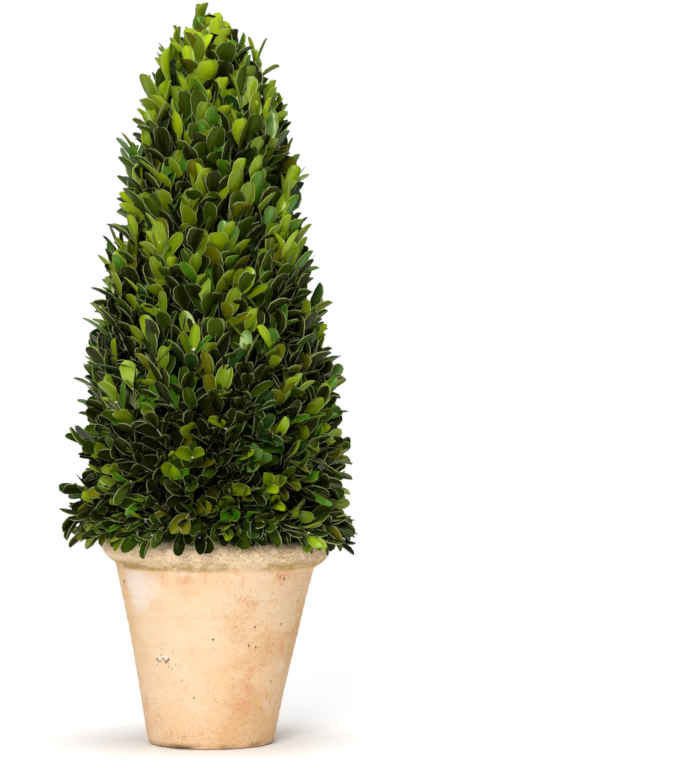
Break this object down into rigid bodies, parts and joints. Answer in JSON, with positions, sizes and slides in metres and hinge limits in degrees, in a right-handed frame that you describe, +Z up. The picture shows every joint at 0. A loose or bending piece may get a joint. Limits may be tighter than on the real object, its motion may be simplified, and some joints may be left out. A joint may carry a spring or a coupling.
{
  "type": "potted boxwood cone topiary",
  "caption": "Tabletop boxwood topiary clipped to a tall rounded cone, with a dense leafy crown on a short hidden stem, planted in a hand-thrown terracotta pot that stands on its flat foot.",
  "frame": {"origin": "centre of the pot's flat underside", "axes": "+Z up through the pot and the crown, -Y towards the side that the picture shows, +X to its right"},
  "size_m": [0.187, 0.189, 0.4753],
  "materials": {
    "terracotta": "matt aged terracotta with a pale lime bloom",
    "soil": "dark crumbly potting soil",
    "bark": "fissured grey-brown bark",
    "leaves": "glossy green leaves"
  },
  "bodies": {
    "root": {"pot": "terracotta", "soil": "soil", "stem": "bark", "foliage": "leaves"}
  },
  "joints": []
}
